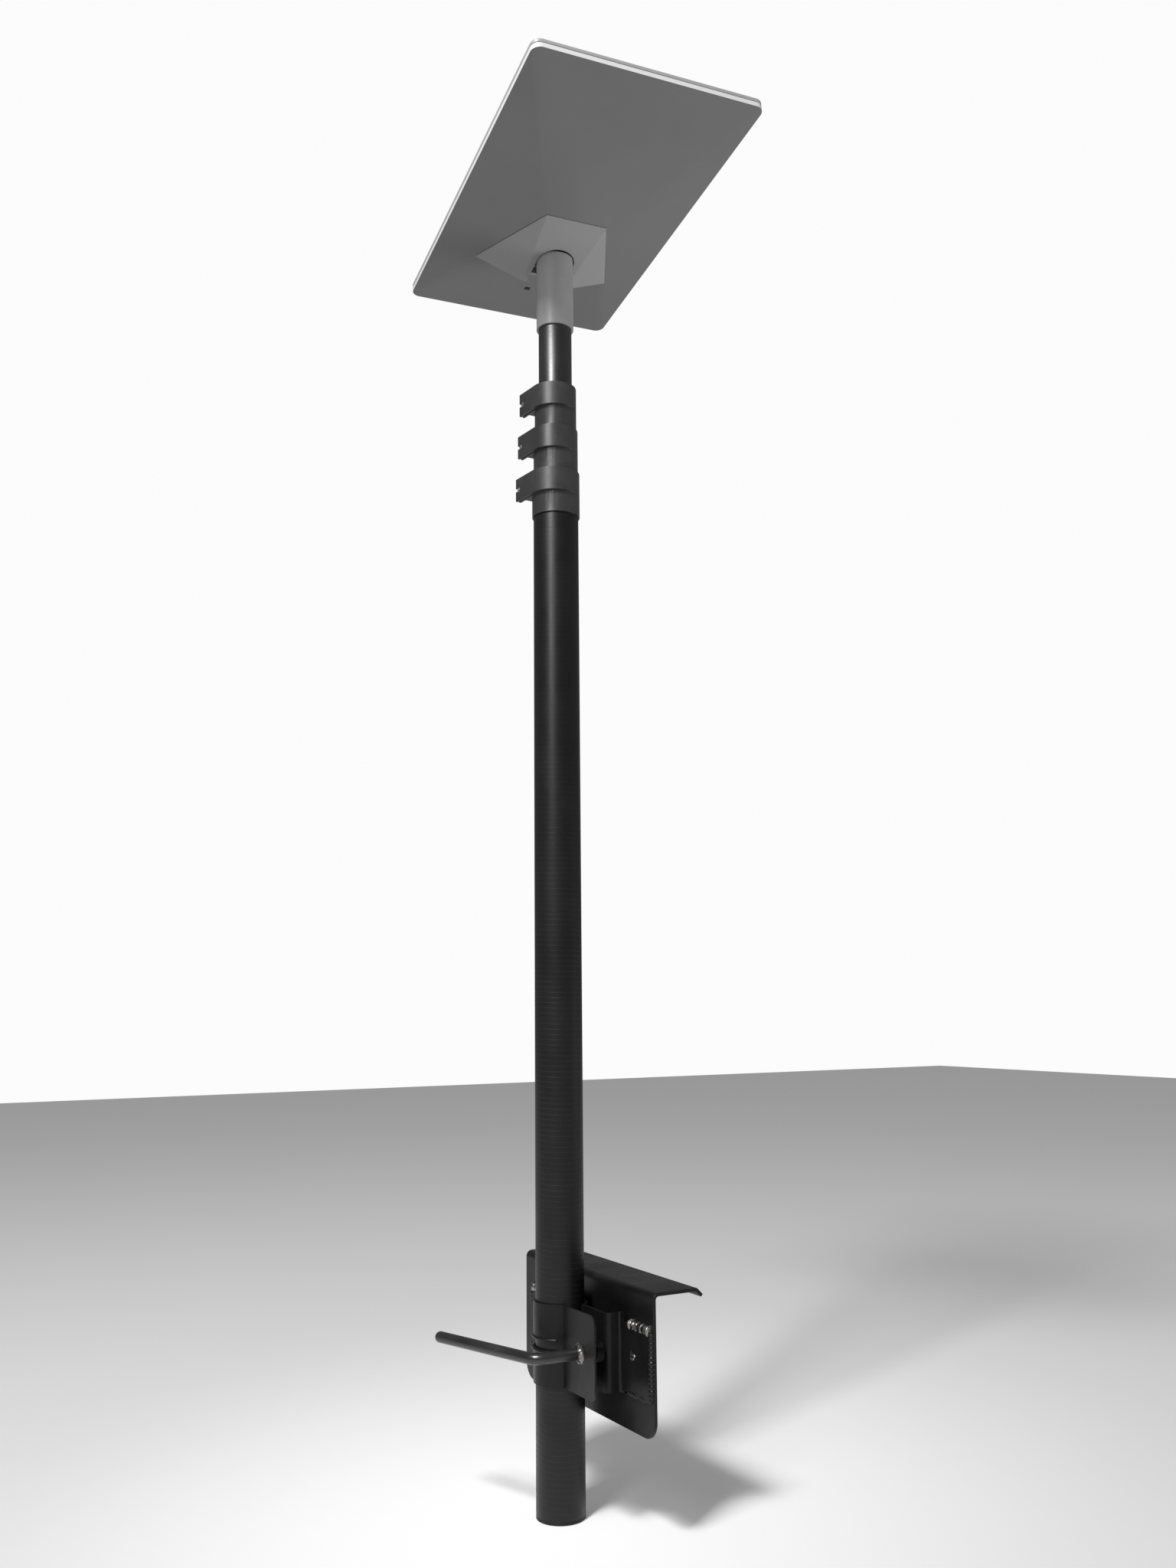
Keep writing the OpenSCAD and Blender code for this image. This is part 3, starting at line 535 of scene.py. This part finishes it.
# ---- Foot and guides ----
# Black moulded plastic: the cap in the mast's foot, a guide on the lower end of each inner tube
# and the split liner in each collar.
black_plastic = Finish("black_plastic", (0.010, 0.010, 0.010), 0.5, Specular_IOR_Level=0.3)
pores = black_plastic.noise(600.0, 3.0)
black_plastic.drive("Roughness", black_plastic.level(pores, 0.42, 0.6))
black_plastic.bump(pores, 0.00006, 0.5)
for part in ("foot_cap", "second_glide", "third_glide", "top_glide",
             "lower_liner", "middle_liner", "upper_liner"):
    dressed_copy(part, black_plastic.material, 0.0005)

# ---- Collars ----
# Cast aluminium clamps, bonded to the top of each outer tube and coated black, with a split lug
# that a bright socket bolt pulls together.
collar_coat = powder_coat("collar_black", (0.017, 0.017, 0.018), 0.36, gloss=0.75)
for part in ("lower_collar", "middle_collar", "upper_collar"):
    dressed_copy(part, collar_coat, 0.0006, segments=3)
bolt_steel = Finish("bolt_steel", (0.8, 0.8, 0.8), 0.18, 1.0)
turning = bolt_steel.noise(400.0, 2.0)
bolt_steel.drive("Roughness", bolt_steel.level(turning, 0.12, 0.26))
for part in ("lower_clamp_bolt", "middle_clamp_bolt", "upper_clamp_bolt"):
    dressed_copy(part, bolt_steel.material, 0.0005, segments=3)

# ---- Stub ----
# Light grey painted tube that the panel turns on, screwed to the top tube through its back.
stub_paint = Finish("stub_grey_paint", (0.28, 0.28, 0.28), 0.5, Specular_IOR_Level=0.35)
stain = stub_paint.noise(22.0, 5.0, 0.6)
stub_paint.tint(stub_paint.level(stain, 0.0, 1.0), (0.265, 0.265, 0.265), (0.295, 0.295, 0.295))
stub_paint.drive("Roughness", stub_paint.level(stain, 0.36, 0.5))
stub_paint.bump(stub_paint.noise(800.0), 0.00005, 0.5)
dressed_copy("stub_tube", stub_paint.material, 0.0005, segments=3)
dressed_copy("stub_screws", bolt_steel.material, 0.0004)

# ---- Azimuth and tilt drive ----
# Inside the stub and the hub: bearings, motor, turning yoke and its axle, the blocks that hang the
# panel on the axle and the tilt gearmotor. Steel and cast aluminium, left bare or painted dark.
cast = Finish("cast_aluminium", (0.55, 0.55, 0.56), 0.45, 1.0)
skin = cast.noise(260.0, 4.0)
cast.drive("Roughness", cast.level(skin, 0.38, 0.55))
cast.bump(skin, 0.0001, 0.6)
for part in ("azimuth_bearings", "azimuth_spindle", "tilt_axle"):
    dressed_copy(part, bolt_steel.material, 0.0003)
for part in ("azimuth_yoke", "axle_blocks"):
    dressed_copy(part, cast.material, 0.0005)
for part in ("azimuth_motor", "tilt_motor"):
    dressed_copy(part, handle_coat, 0.0005)

# ---- Panel ----
# A flat box of two moulded shells of white plastic: the rear shell, a shallow pyramid with four ridges,
# is painted grey on its downward faces as shade, with only its skirt white, and the front cover,
# painted a light grey as shade, closes it over a rubber seal. The hub's cover is painted grey as shade.
def moulded(name, dark, light, roughness):
    """Moulded plastic: a fine spark-eroded grain, with faint cloudy changes of tone."""
    plastic = Finish(name, light, roughness)
    cloud = plastic.noise(6.0, 4.0, 0.6)
    plastic.tint(plastic.level(cloud, 0.0, 1.0), dark, light)
    grain = plastic.noise(1100.0, 2.0)
    plastic.drive("Roughness", plastic.level(grain, roughness - 0.05, roughness + 0.08))
    plastic.bump(grain, 0.00006, 0.5)
    return plastic.material


# The shell's grey is painted shade on the faces of its white plastic that look down; the white is the
# plastic's own colour.
shell_painted_shade = moulded("rear_shell_painted_shade", (0.125, 0.125, 0.125), (0.137, 0.137, 0.137), 0.6)
rim_white = moulded("rim_white", (0.66, 0.66, 0.66), (0.7, 0.7, 0.7), 0.45)
# The cover is white plastic; its tone is set down to a light grey, painted shade like that on its rounded
# edge.
cover_white = moulded("cover_white", (0.34, 0.34, 0.34), (0.37, 0.37, 0.37), 0.4)
rear = dressed_copy("rear_shell", shell_painted_shade, 0.0006, angle=25.0)
# The skirt round the shell's edge takes the white, the plastic's own colour: its faces stand square to the
# panel. The faces that look down keep the grey, which is painted shade.
rear.data.materials.append(rim_white)
rest_tilt, skirt_limit = math.radians(5.8), 0.3
axle = next(np.array(joint["axis"]) for joint in frame["record"]["behaviour"]["joints"]
            if joint["name"] == "panel_tilt")
facing = np.array([-axle[1], axle[0], 0.0])
face_up = np.cross(facing * math.cos(rest_tilt) + np.array([0, 0, math.sin(rest_tilt)]), axle)
for face in rear.data.polygons:
    if abs(np.dot(face.normal, face_up)) < skirt_limit:
        face.material_index = 1
# The hub's cover is white plastic painted grey: the shade of the panel's underside.
dressed_copy("hub_cover", moulded("hub_grey", (0.215, 0.215, 0.215), (0.235, 0.235, 0.235), 0.5), 0.0004,
             angle=25.0)
dressed_copy("front_cover", cover_white, 0.0018, segments=4)
rubber = Finish("seal_rubber", (0.03, 0.03, 0.03), 0.7)
rubber.drive("Roughness", rubber.level(rubber.noise(500.0), 0.62, 0.78))
dressed_copy("rim_seal", rubber.material, 0.0)
dressed_copy("vent_plug", black_plastic.material, 0.0004)

# ---- Antenna inside ----
# Behind the cover: the circuit board with its metal patches, on an aluminium support plate with
# six turned spacers.
board = Finish("board_green", (0.02, 0.12, 0.05), 0.35)
patch = board.node("ShaderNodeTexBrick", {"offset": 0.0},
                   {"Vector": board.place(), "Scale": 60.0, "Mortar Size": 0.12,
                    "Color1": (1, 1, 1, 1), "Color2": (1, 1, 1, 1), "Mortar": (0, 0, 0, 1)})
board.tint(patch, (0.02, 0.12, 0.05), (0.55, 0.38, 0.18))
dressed_copy("antenna_board", board.material, 0.0)
for part in ("support_plate", "board_spacers"):
    dressed_copy(part, cast.material, 0.0003)
